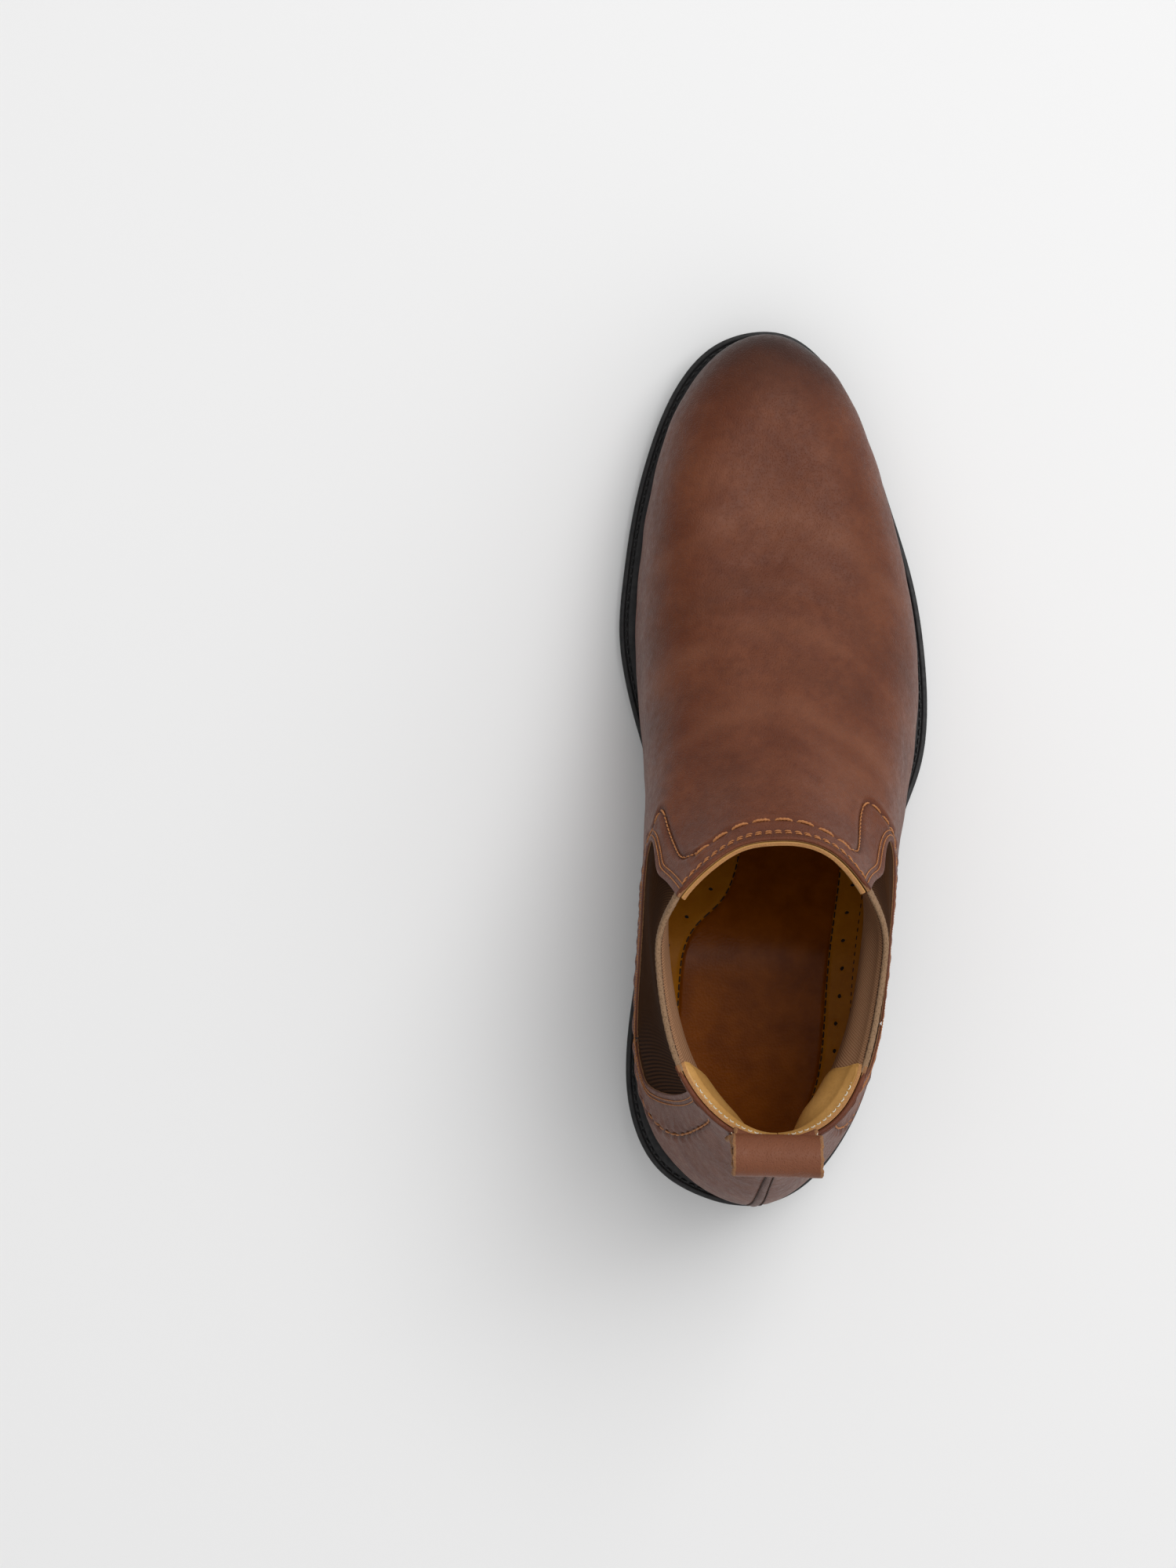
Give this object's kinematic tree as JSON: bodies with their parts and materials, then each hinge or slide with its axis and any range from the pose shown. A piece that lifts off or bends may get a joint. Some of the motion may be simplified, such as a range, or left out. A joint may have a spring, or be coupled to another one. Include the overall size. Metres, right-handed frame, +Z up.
{
  "type": "chelsea boot",
  "caption": "Low brown leather chelsea boot for the right foot, with elastic side gores, black rubber welted sole, low heel and a leather pull tab at the back.",
  "frame": {"origin": "centre of the boot's bounding box, on the ground", "axes": "+Y from heel to toe along the boot, +Z up, -X towards the medial side (the other foot)"},
  "size_m": [0.1066, 0.2994, 0.1618],
  "materials": {
    "brown_leather": "semi-gloss pull-up leather",
    "tan_lining": "smooth lining leather",
    "sock_leather": "polished sock leather",
    "elastic": "ribbed elastic",
    "binding": "woven tape",
    "black_rubber": "satin rubber",
    "thread": "waxed thread",
    "cork": "cork compound",
    "fibre_board": "pressed cellulose board",
    "foam": "soft foam",
    "stiffener": "non-woven stiffener",
    "steel": "plain steel"
  },
  "bodies": {
    "boot": {"outsole": "black_rubber", "welt": "black_rubber", "welt_thread": "thread", "heel_stack": "black_rubber", "heel_top_lift": "black_rubber", "heel_nail_1": "steel", "heel_nail_2": "steel", "heel_nail_3": "steel", "heel_nail_4": "steel", "heel_nail_5": "steel", "bottom_filler": "cork", "shank": "steel", "insole_board": "fibre_board", "footbed_foam": "foam", "sock_lining": "sock_leather", "vamp": "brown_leather", "quarter_lateral": "brown_leather", "quarter_medial": "brown_leather", "gore_lateral": "elastic", "gore_medial": "elastic", "gore_lining_lateral": "elastic", "gore_lining_medial": "elastic", "gore_binding_lateral": "binding", "gore_binding_medial": "binding", "collar_binding_front": "brown_leather", "toe_puff": "stiffener", "vamp_interlining": "stiffener", "heel_counter": "stiffener", "collar_padding": "foam", "vamp_lining": "tan_lining", "heel_lining_lateral": "tan_lining", "heel_lining_medial": "tan_lining", "back_seam_strip": "brown_leather", "pull_tab_anchor": "brown_leather"},
    "pull_tab": {"pull_tab": "brown_leather"}
  },
  "joints": [
    {"name": "pull_tab_bend", "type": "hinge", "parent": "boot", "child": "pull_tab", "pos_m": [-0.00552, -0.11885, 0.1456], "axis": [1, 0, 0], "range_deg": [-65, 55], "stiffness_Nm_per_rad": 0.01}
  ]
}
